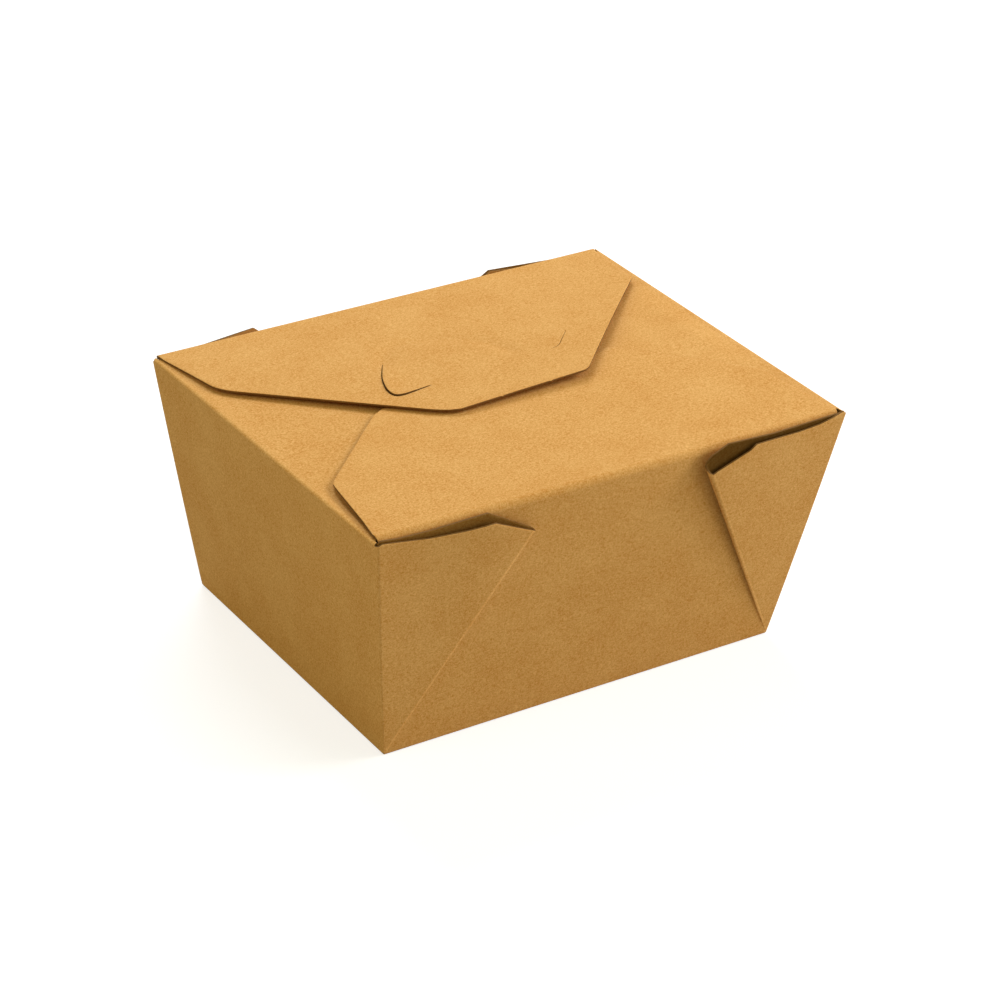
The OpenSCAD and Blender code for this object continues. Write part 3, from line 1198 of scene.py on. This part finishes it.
@dataclass
class TopFlap:
    """The top flap, with its creased bead and the lock cut.

    Attributes:
        hinge: a point on the joint's axis.
        left: the half widths of the flap's left side by depth from the hinge.
        right: the same for its right side.
        bead_radius: radius of the creased bead, to the middle of the board.
        bead_start: angle round the joint's axis at which the bead starts, in degrees.
        bead_turn: angle that it turns through, in degrees.
        bead_run: distance in which the sheet goes on from the bead to its own level.
        columns: number of cells across the flap.
        rows: number of cells from the bead to the free edge.
        bead_rows: number of cells round the bead.
        left_corner: radius of the free corner on the left.
        right_corner: radius of the free corner on the right.
        rise: how far the middle of the free edge has sprung up.
        twist: how much more that is at the lid's half width to the right, and less to the left.
        open_cut: width of the lock's open end.
        shut_cut: width of its shut end.
        lip: how far the board beside the open end is lifted, and how far from the cut that fades.
        dent: how deep the press mark is, and how far from its line it fades.
        burr: how far a burr stands out, and how wide it is.
        lock_left: the open end of the lock cut, in millimetres in the box's frame.
        lock_right: the shut end of the lock cut.
        press_mark: the line of the faint dent round the lock's tongue.
        burrs: where the front edge has a small burr.
    """

    hinge: Points
    left: FlapOutline
    right: FlapOutline
    bead_radius: float = 0.25 * MM
    bead_start: float = -100.0
    bead_turn: float = 190.0
    bead_run: float = 3.0 * MM
    columns: int = 150
    rows: int = 84
    bead_rows: int = 8
    left_corner: float = 4.0 * MM
    right_corner: float = 1.2 * MM
    rise: float = 2.5 * MM
    twist: float = 0.9 * MM
    open_cut: float = 0.34 * MM
    shut_cut: float = 0.12 * MM
    lip: tuple[float, float] = (0.42 * MM, 4.0 * MM)
    dent: tuple[float, float] = (0.30 * MM, 2.2 * MM)
    burr: tuple[float, float] = (0.35 * MM, 0.3 * MM)
    lock_left: Outline = (
        (-15.9, 3.3), (-20.2, 2.8), (-24.0, 2.5), (-26.1, 3.2), (-26.5, 5.7), (-25.6, 9.1), (-23.8, 13.0),
        (-19.9, 19.1))
    lock_right: Outline = ((18.8, 4.0), (21.1, 4.5), (24.6, 7.8), (27.6, 10.8))
    press_mark: Outline = (
        (-19.9, 19.1), (-16.3, 23.8), (-10.6, 26.1), (-5.2, 25.6), (1.2, 22.1), (6.8, 17.2), (9.9, 8.8))
    burrs: tuple[float, ...] = (-4.7 * MM, 9.1 * MM)

    def height_at(self, x: Points, depth: Points) -> Points:
        """Works out how far the closed flap lies above its hinge.

        Args:
            x: places across the flap.
            depth: distances from the hinge.

        Returns:
            One height for each place.
        """
        far = np.clip(depth / self.left.stops[-1][0], 0.0, 1.0)
        rise_ease, twist_ease = 1.15, 1.6
        spring = self.rise * np.sin(math.pi / 2 * far) ** rise_ease
        twist = self.twist * x / LID_HALF * far**twist_ease
        return spring + twist

    def on_flap(self, points: Sequence[tuple[float, float]]) -> Points:
        """Draws a curve on the flat flap through points given in millimetres in the box's frame."""
        return curve_through(points, steps=6) * MM - self.hinge[:2]

    def cutter(self, path: Points, width: float) -> bpy.types.Object:
        """Makes the blade that cuts one end of the lock.

        Args:
            path: the line of the cut on the flat flap.
            width: width of the cut at its middle.

        Returns:
            The blade.
        """
        blade_height = 3.0 * MM
        blade, across, along = grid("lock_blade", 1, len(path) - 1)
        run = np.gradient(path, axis=0)
        aside = np.stack([-run[:, 1], run[:, 0]], axis=1) / np.linalg.norm(run, axis=1)[:, None]
        share = np.linspace(0.0, 1.0, len(path))
        at_ends = 0.2
        half = width / 2 * (at_ends + (1.0 - at_ends) * np.sqrt(np.sin(math.pi * share)))
        flat = path[along] + (2.0 * across - 1.0)[:, None] * (half[:, None] * aside)[along]
        place(blade, np.hstack([flat, np.zeros((len(flat), 1))]))
        apply_modifier(blade, "SOLIDIFY", thickness=blade_height, offset=0.0)
        in_edit_mode(blade, lambda: bpy.ops.mesh.normals_make_consistent(inside=False))
        add_slots(blade, 2)
        blade.data.polygons.foreach_set("material_index", [1] * len(blade.data.polygons))
        return blade

    def cut(self, piece: bpy.types.Object, path: Points, width: float) -> None:
        """Cuts one end of the lock out of the flat flap.

        Args:
            piece: the flat flap.
            path: the line of the cut.
            width: width of the cut at its middle.
        """
        blade = self.cutter(path, width)
        apply_modifier(piece, "BOOLEAN", operation="DIFFERENCE", solver="EXACT", object=blade)
        bpy.data.objects.remove(blade)

    def bead_and_sheet(self) -> bpy.types.Object:
        """Makes the flat flap from one grid, with its bead rolled round the hinge's axis.

        Returns:
            The sheet, still without thickness.
        """
        made, across, along = grid("top_flap_sheet", self.columns, self.bead_rows + self.rows)
        length = self.left.stops[-1][0]
        row = np.arange(self.bead_rows + self.rows + 1)
        row_ease = 1.2
        depth = length * np.clip((row - self.bead_rows) / self.rows, 0.0, 1.0) ** row_ease
        turn = np.radians(self.bead_start + self.bead_turn * np.clip(row / self.bead_rows, 0.0, 1.0))
        y = self.bead_radius * np.cos(turn) - depth
        z = self.bead_radius * np.sin(turn) * (1.0 - smooth(depth / self.bead_run))
        u = 2.0 * across / self.columns - 1.0
        left = self.left.drawn_in(depth, self.left_corner)[along]
        right = self.right.drawn_in(depth, self.right_corner)[along]
        x = u * np.where(u < 0.0, left, right)
        place(made, np.stack([x, y[along], z[along]], axis=1))
        in_edit_mode(made, bpy.ops.mesh.flip_normals)
        return made

    def build(self) -> bpy.types.Object:
        """Makes the flap flat, cuts it, then bends it to its closed shape.

        Returns:
            The finished flap.
        """
        made = self.bead_and_sheet()
        thicken(made, BOARD.thickness)
        lock_left = self.on_flap(self.lock_left)
        self.cut(made, lock_left, self.open_cut)
        self.cut(made, self.on_flap(self.lock_right), self.shut_cut)
        soften_edges(made, BOARD.edge_softness)
        flat = coordinates(made)
        depth = np.maximum(-flat[:, 1], 0.0)
        rise = self.height_at(flat[:, 0], depth)
        away, side, share = to_curve(flat, lock_left)
        lift, fade = self.lip
        fullness = 0.7
        along_cut = np.sin(math.pi * np.clip(share, 0.0, 1.0)) ** fullness
        rise += np.where(side < 0.0, lift * np.exp(-(away / fade) ** 2) * along_cut, 0.0)
        away, _, _ = to_curve(flat, self.on_flap(self.press_mark))
        sink, fade = self.dent
        rise -= sink * np.exp(-(away / fade) ** 2)
        front = np.max(depth)
        reach, width = self.burr
        for burr in self.burrs:
            near = np.exp(-((flat[:, 0] - burr) / width) ** 2) * (depth > front - width)
            flat[:, 1] -= reach * near
        place(made, flat + rise[:, None] * np.array([0.0, 0.0, 1.0]) + self.hinge)
        return made


@dataclass(frozen=True)
class KraftFinish:
    """Uncoated kraft board, with its fibres, flecks and slight clouding.

    Attributes:
        name: the material's name.
        colour: its mean colour, linear.
        fleck: how strongly the fine flecks show.
        roughness: how matt it is.
        sheen: how strongly it reflects light as a sheen.
        shade_name: name of the painted shade that darkens it, or nothing.
        SPREAD: how much lighter and darker the flecks are, for red, green and blue.
        HIGHLIGHT_AND_WEAR: how much lighter the board is painted along a crease, for red, green and blue:
            a painted highlight with some wear.
        LIGHT_LINE_CORE: share of a crease's half width at which the light line starts to fade.
        BAND: the range of the noise patterns that is stretched over the tones.
        EVEN: the stretch of a pattern that is the same along X, Y and Z.
        FIBRE: the stretch of the fibres' pattern.
        BUMP: strength of the surface's relief.
        BUMP_HEIGHT: height of the surface's relief.
    """

    SPREAD = (0.18, 0.33, 0.62)
    HIGHLIGHT_AND_WEAR = (0.16, 0.20, 0.32)
    LIGHT_LINE_CORE = 0.35
    BAND = (0.3, 0.7)
    EVEN = (1.0, 1.0, 1.0)
    FIBRE = (0.7, 1.0, 1.0)
    BUMP = 0.16
    BUMP_HEIGHT = 0.02 * MM

    name: str
    colour: tuple[float, float, float]
    fleck: float = 1.0
    roughness: float = 0.86
    sheen: float = 0.25
    shade_name: str = ""

    def material(self, creases: Sequence[Crease] = ()) -> bpy.types.Material:
        """Makes the material.

        Args:
            creases: the creases along which it is painted lighter, as a painted highlight with some wear.

        Returns:
            The material.
        """
        made = bpy.data.materials.new(self.name)
        made.use_nodes = True
        nodes = made.node_tree.nodes
        links = made.node_tree.links
        shader = nodes["Principled BSDF"]
        shader.inputs["Roughness"].default_value = self.roughness
        shader.inputs["Specular IOR Level"].default_value = self.sheen
        place_node = nodes.new("ShaderNodeTexCoord")

        def noise(scale: float, detail: float,
                  stretch: tuple[float, float, float]) -> bpy.types.NodeSocket:
            """Adds a noise pattern.

            Args:
                scale: how fine it is.
                detail: how many finer layers it has.
                stretch: how much it is squeezed along X, Y and Z.

            Returns:
                The socket of its value.
            """
            mapping = nodes.new("ShaderNodeMapping")
            mapping.inputs["Scale"].default_value = stretch
            pattern = nodes.new("ShaderNodeTexNoise")
            pattern.inputs["Scale"].default_value = scale
            pattern.inputs["Detail"].default_value = detail
            links.new(place_node.outputs["Object"], mapping.inputs["Vector"])
            links.new(mapping.outputs["Vector"], pattern.inputs["Vector"])
            return pattern.outputs["Fac"]

        def ramp(value: bpy.types.NodeSocket, low: float, high: float, start: float,
                 end: float) -> bpy.types.NodeSocket:
            """Maps a value's range to another one and clips it there.

            Args:
                value: the socket of the value.
                low: lower end of its range.
                high: upper end of its range.
                start: what the lower end becomes.
                end: what the upper end becomes.

            Returns:
                The socket of the mapped value.
            """
            node = nodes.new("ShaderNodeMapRange")
            node.inputs["From Min"].default_value = low
            node.inputs["From Max"].default_value = high
            node.inputs["To Min"].default_value = start
            node.inputs["To Max"].default_value = end
            links.new(value, node.inputs["Value"])
            return node.outputs["Result"]

        def plus(a: bpy.types.NodeSocket, b: bpy.types.NodeSocket) -> bpy.types.NodeSocket:
            """Adds two values.

            Args:
                a: the socket of the first.
                b: the socket of the second.

            Returns:
                The socket of their sum.
            """
            node = nodes.new("ShaderNodeMath")
            node.operation = "ADD"
            links.new(a, node.inputs[0])
            links.new(b, node.inputs[1])
            return node.outputs["Value"]

        fine = noise(3000.0, 5.0, self.EVEN)
        fibre = noise(1900.0, 2.0, self.FIBRE)
        cloud = noise(90.0, 3.0, self.EVEN)
        tone = plus(plus(ramp(fine, *self.BAND, 0.10, 0.90), ramp(fibre, *self.BAND, -0.20, 0.20)),
                    ramp(cloud, *self.BAND, -0.10, 0.10))
        mix = nodes.new("ShaderNodeMix")
        mix.data_type = "RGBA"
        mix.clamp_factor = True
        for name, sign in (("A", -1.0), ("B", 1.0)):
            shifted = [c * (1.0 + sign * self.fleck * s) for c, s in zip(self.colour, self.SPREAD)]
            end = next(i for i in mix.inputs if i.name == name and i.type == "RGBA")
            end.default_value = (*shifted, 1.0)
        links.new(tone, mix.inputs["Factor"])
        colour = next(o for o in mix.outputs if o.type == "RGBA")

        def vector(operation: str, a: bpy.types.NodeSocket,
                   *settings: tuple[str | int, object]) -> bpy.types.Node:
            """Adds a vector operation.

            Args:
                operation: the operation's name.
                a: the socket of its first vector.
                *settings: its other inputs, each by number or name, with a socket or a value.

            Returns:
                The operation's node.
            """
            node = nodes.new("ShaderNodeVectorMath")
            node.operation = operation
            links.new(a, node.inputs[0])
            for key, value in settings:
                if isinstance(value, bpy.types.NodeSocket):
                    links.new(value, node.inputs[key])
                else:
                    node.inputs[key].default_value = value
            return node

        # Painted highlight with some wear: a light line along each crease.
        for crease in creases:
            from_start = vector("SUBTRACT", place_node.outputs["Object"], (1, tuple(crease.start)))
            beside = vector("CROSS_PRODUCT", from_start.outputs["Vector"], (1, tuple(unit(crease.along))))
            away = vector("LENGTH", beside.outputs["Vector"]).outputs["Value"]
            highlight_and_wear = ramp(away, self.LIGHT_LINE_CORE * crease.half_width, crease.half_width, 1.0, 0.0)
            gain = vector("MULTIPLY_ADD", vector("SCALE", colour, ("Scale", highlight_and_wear)).outputs["Vector"],
                          (1, self.HIGHLIGHT_AND_WEAR), (2, colour))
            colour = gain.outputs["Vector"]
        # Painted shade: darkens the colour where a painted shade attribute says, in the gussets' pockets
        # and gaps.
        if self.shade_name:
            painted = nodes.new("ShaderNodeAttribute")
            painted.attribute_name = self.shade_name
            light = ramp(painted.outputs["Fac"], 0.0, 1.0, 1.0, 0.0)
            colour = vector("SCALE", colour, ("Scale", light)).outputs["Vector"]
        links.new(colour, shader.inputs["Base Color"])
        bump = nodes.new("ShaderNodeBump")
        bump.inputs["Strength"].default_value = self.BUMP
        bump.inputs["Distance"].default_value = self.BUMP_HEIGHT
        links.new(plus(fine, fibre), bump.inputs["Height"])
        links.new(bump.outputs["Normal"], shader.inputs["Normal"])
        return made


# The outside is painted darker by the gap_shade attribute: painted shade in the gaps between the gussets
# and the long walls.
KRAFT = KraftFinish("kraft_face", (0.75, 0.382, 0.108), shade_name=GAP_SHADE)
# The cut edges are painted far darker than the face: painted shade for the dark gaps under the flaps'
# edges, over the raw edge's own darker tone.
SHADED_CUT_EDGE = KraftFinish("kraft_cut_edge_painted_shade", (0.22, 0.105, 0.026), fleck=0.4)
# The inside is painted darker by the pocket_shade attribute: painted shade deep in the gusset pockets.
INSIDE = KraftFinish("kraft_inside", (0.42, 0.196, 0.042), sheen=0.0, shade_name=POCKET_SHADE)


def put_in(name: str, data: bpy.types.ID, axes: Sequence[Points], at: Sequence[float]) -> bpy.types.Object:
    """Puts a camera or a lamp in the scene.

    Args:
        name: name of the new object.
        data: its camera or lamp.
        axes: its own right, up and backward directions.
        at: its place.

    Returns:
        The object.
    """
    made = bpy.data.objects.new(name, data)
    bpy.context.scene.collection.objects.link(made)
    matrix = np.eye(4)
    matrix[:3, :3] = np.stack(axes, axis=1)
    matrix[:3, 3] = at
    made.matrix_world = Matrix(matrix.tolist())
    return made


@dataclass(frozen=True)
class Lamp:
    """A square soft lamp that faces the box.

    Attributes:
        name: the lamp's name.
        at: its place, in metres.
        light: its power in watts for red, green and blue.
        size: its width, in metres.
        AIM: the point that it faces, about half way up the box.
        LEVEL: a direction that its own right side is square to.
    """

    AIM = (0.0, 0.0, 0.03)
    LEVEL = (0.0, 1.0, 0.01)

    name: str
    at: tuple[float, float, float]
    light: tuple[float, float, float]
    size: float = 0.5

    def hang(self) -> None:
        """Makes the lamp."""
        power = max(self.light)
        data = bpy.data.lights.new(self.name, "AREA")
        data.shape = "SQUARE"
        data.size = self.size
        data.energy = power
        data.color = [part / power for part in self.light]
        back = unit(np.array(self.at) - np.array(self.AIM))
        right = unit(np.cross(self.LEVEL, back))
        put_in(self.name, data, (right, np.cross(back, right), back), self.at)


ROOM_LIGHT = (0.36, 0.35, 0.205)
LAMPS = (
    Lamp("back", (0.2, 0.75, 0.9), (5.4, 5.8, 7.1)),
    Lamp("right", (0.95, -0.35, 0.7), (6.8, 6.8, 7.3)),
    Lamp("left", (-1.0, 0.05, 0.7), (2.1, 2.1, 1.6)),
    Lamp("low_right", (0.62, -0.62, 0.15), (1.77, 1.77, 1.77)),
)


@dataclass(frozen=True)
class Studio:
    """The camera, the pale floor and the soft studio light.

    Attributes:
        camera_at: the camera's place.
        back: the direction from the subject to the camera.
        roll: how far the camera is rolled, in degrees.
        lens: focal length for a sensor 36 mm wide.
        lamps: the lamps that hang round the box.
        room: the even light of the room, for red, green and blue.
        floor_grey: how light the floor is.
        floor_glow: strength of the glow that only the camera sees on it, so that it comes out white.
        SENSOR: width of the camera's sensor, in millimetres.
    """

    SENSOR = 36.0

    camera_at: tuple[float, float, float] = (-412.8 * MM, -605.3 * MM, 440.5 * MM)
    back: tuple[float, float, float] = (-0.49426, -0.71954, 0.48782)
    roll: float = 2.659
    lens: float = 124.12
    lamps: tuple[Lamp, ...] = LAMPS
    room: tuple[float, float, float] = ROOM_LIGHT
    floor_grey: float = 0.5
    floor_glow: float = 0.72

    def camera(self) -> None:
        """Makes the camera."""
        data = bpy.data.cameras.new("camera")
        data.lens = self.lens
        data.sensor_width = self.SENSOR
        data.clip_start = 0.05
        data.clip_end = 50.0
        back = unit(np.array(self.back))
        right = unit(np.cross([0.0, 0.0, 1.0], back))
        up = np.cross(back, right)
        turn = math.radians(self.roll)
        rolled_right = math.cos(turn) * right + math.sin(turn) * up
        rolled_up = -math.sin(turn) * right + math.cos(turn) * up
        axes = (rolled_right, rolled_up, back)
        bpy.context.scene.camera = put_in("camera", data, axes, self.camera_at)

    def lights(self) -> None:
        """Makes the lamps and the even light of the room, which the camera sees as plain white."""
        for lamp in self.lamps:
            lamp.hang()
        world = bpy.data.worlds.new("room")
        bpy.context.scene.world = world
        world.use_nodes = True
        nodes = world.node_tree.nodes
        links = world.node_tree.links
        room = nodes["Background"]
        room.inputs["Color"].default_value = (*self.room, 1.0)
        white = nodes.new("ShaderNodeBackground")
        white.inputs["Color"].default_value = (1.0, 1.0, 1.0, 1.0)
        path = nodes.new("ShaderNodeLightPath")
        seen = nodes.new("ShaderNodeMixShader")
        links.new(path.outputs["Is Camera Ray"], seen.inputs["Fac"])
        links.new(room.outputs["Background"], seen.inputs[1])
        links.new(white.outputs["Background"], seen.inputs[2])
        links.new(seen.outputs["Shader"], nodes["World Output"].inputs["Surface"])

    def floor(self) -> None:
        """Makes the pale floor, which runs on under the whole view."""
        bpy.ops.object.select_all(action="DESELECT")
        bpy.ops.mesh.primitive_plane_add(size=30.0, location=(0.0, 0.0, 0.0))
        made = bpy.context.active_object
        made.name = "floor"
        material = bpy.data.materials.new("floor")
        material.use_nodes = True
        nodes = material.node_tree.nodes
        links = material.node_tree.links
        shader = nodes["Principled BSDF"]
        shader.inputs["Roughness"].default_value = 1.0
        shader.inputs["Specular IOR Level"].default_value = 0.0
        shader.inputs["Base Color"].default_value = (*[self.floor_grey] * 3, 1.0)
        glow = nodes.new("ShaderNodeEmission")
        glow.inputs["Color"].default_value = (1.0, 1.0, 1.0, 1.0)
        path = nodes.new("ShaderNodeLightPath")
        lift = nodes.new("ShaderNodeMapRange")
        lift.inputs["To Min"].default_value = 0.0
        lift.inputs["To Max"].default_value = self.floor_glow
        links.new(path.outputs["Is Camera Ray"], lift.inputs["Value"])
        links.new(lift.outputs["Result"], glow.inputs["Strength"])
        both = nodes.new("ShaderNodeAddShader")
        links.new(shader.outputs["BSDF"], both.inputs[0])
        links.new(glow.outputs["Emission"], both.inputs[1])
        links.new(both.outputs["Shader"], nodes["Material Output"].inputs["Surface"])
        made.data.materials.append(material)


def gusset_looks() -> dict[tuple[Face, Side], GussetLook]:
    """Lists how each of the four gussets lies.

    Returns:
        The looks, by the long wall and the end that a gusset belongs to.
    """
    # shade and gap_shade are the painted shade in each gusset's pocket and in its gap against the long
    # wall.
    front_right = GussetLook(
        spring=2.5, fold_lag=1.0, tip_gap=0.7 * MM, pocket=0.4 * MM, shade=0.65, gap_shade=0.6,
        outer_edge=in_mm((0.0, 64.2), (2.8, 62.8), (6.8, 61.4), (12.9, 60.3), (22.2, 59.4), (26.6, 58.9),
                         (27.9, 57.5), (32.2, 55.2), (36.5, 52.9), (43.0, 48.0)),
        inner_edge=in_mm((0.0, 63.4), (20.5, 60.3), (34.3, 59.3), (38.4, 56.6), (43.0, 50.5)))
    front_left = GussetLook(
        spring=1.5, fold_lag=1.0, tip_gap=0.4 * MM, pocket=1.1 * MM, shade=0.3, gap_shade=0.6,
        outer_edge=in_mm((0.0, 62.5), (2.0, 62.0), (6.8, 60.8), (11.8, 59.6), (22.0, 58.2), (28.5, 57.7),
                         (32.1, 55.4), (41.0, 49.5)),
        inner_edge=in_mm((0.0, 62.9), (4.8, 61.8), (13.0, 60.7), (27.6, 59.7), (41.0, 49.5)))
    back_left = GussetLook(
        spring=12.0, fold_lag=0.0, tip_gap=0.3 * MM, pocket=0.3 * MM, shade=0.35, gap_shade=0.3,
        outer_edge=in_mm((0.0, 61.7), (10.0, 60.4), (30.3, 57.2), (39.0, 48.6)),
        inner_edge=in_mm((0.0, 61.7), (30.3, 57.7), (39.0, 48.6)))
    back_right = replace(
        back_left,
        outer_edge=in_mm((0.0, 61.1), (8.6, 60.9), (28.0, 57.8), (38.4, 48.6)),
        inner_edge=in_mm((0.0, 61.1), (28.0, 57.9), (38.4, 48.6)))
    return {(Face.FRONT, Side.RIGHT): front_right, (Face.FRONT, Side.LEFT): front_left,
            (Face.BACK, Side.LEFT): back_left, (Face.BACK, Side.RIGHT): back_right}


def corner_skews() -> dict[tuple[Face, Side], Skew]:
    """Lists how far each corner line stands off the plain form.

    Returns:
        The offsets, by the long wall and the end that a corner belongs to.
    """
    return {(Face.FRONT, Side.LEFT): Skew((-0.7 * MM, 0.4 * MM), (0.5 * MM, 0.5 * MM)),
            (Face.FRONT, Side.RIGHT): Skew((-1.2 * MM, 0.2 * MM), (0.8 * MM, -0.45 * MM)),
            (Face.BACK, Side.LEFT): Skew((0.1 * MM, 0.4 * MM), (0.0, 0.0)),
            (Face.BACK, Side.RIGHT): Skew((-0.6 * MM, 0.3 * MM), (-0.4 * MM, 0.0))}


def dress(piece: bpy.types.Object, finishes: Sequence[bpy.types.Material], body: str, node: str) -> None:
    """Gives a sheet its materials and puts it in the place of its CAD node.

    Args:
        piece: the finished sheet.
        finishes: the materials of its outside, of its cut edges and of its inside.
        body: the body that it rides on.
        node: the CAD node that it stands for.
    """
    add_slots(piece, len(finishes))
    for slot_number, finish in enumerate(finishes):
        piece.data.materials[slot_number] = finish
    choose(piece)
    bpy.ops.object.shade_smooth_by_angle(angle=SMOOTH_BELOW)
    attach(piece, body)
    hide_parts(node)
    LOG.info("%s: %d faces, rides on %s", piece.name, len(piece.data.polygons), body)


def main() -> None:
    """Builds the studio and the box."""
    logging.basicConfig(level=logging.INFO, format="%(name)s: %(message)s")
    studio = Studio()
    studio.camera()
    studio.lights()
    studio.floor()
    sheet = WrappedSheet(BoxSizes(), gusset_looks(), corner_skews())
    finishes = [KRAFT.material(sheet.lit_worn_creases()), SHADED_CUT_EDGE.material(), INSIDE.material()]
    front_left = FlapOutline(in_mm((0.0, 63.6), (6.0, 62.4), (18.3, 60.5), (24.1, 59.6), (49.4, 32.4)),
                             rounding=0.8 * MM)
    front_right = FlapOutline(in_mm((0.0, 64.6), (6.0, 63.2), (18.3, 61.0), (23.6, 60.4), (49.4, 33.6)),
                              rounding=0.8 * MM)
    tongue = FlapOutline(in_mm((0.0, 20.0), (22.0, 16.0)), rounding=2.0 * MM)
    front = FrontFlap(sheet, front_left, front_right, tongue)
    end_outline = FlapOutline(in_mm((0.0, 49.8), (5.0, 47.0), (42.0, 30.0)), rounding=2.0 * MM)
    ends = (EndFlap(sheet, Side.LEFT, end_outline, rest_level=62.3 * MM, settling=4.5 * MM, sag=1.3 * MM,
                    sag_from=-20.0 * MM, sag_run=11.0 * MM),
            EndFlap(sheet, Side.RIGHT, end_outline, rest_level=63.4 * MM, settling=8.0 * MM, sag=1.1 * MM,
                    sag_from=0.0, sag_run=34.0 * MM, hinge_sag=1.0 * MM))
    box = FoldedBox(sheet, front, ends).build()
    dress(box, finishes, "box", "folded_box")
    joint = frame["joints"][0]
    left = FlapOutline(in_mm((0.0, 64.0), (23.2, 60.3), (60.5, 18.5)), rounding=3.0 * MM)
    right = FlapOutline(in_mm((0.0, 63.3), (20.9, 60.8), (60.5, 19.9)), rounding=1.2 * MM)
    flap = TopFlap(np.array(joint["pos_m"]), left, right).build()
    dress(flap, finishes, "flap", "top_flap")
    bpy.context.scene.view_settings.view_transform = "Standard"


if __name__ == "__main__":
    main()
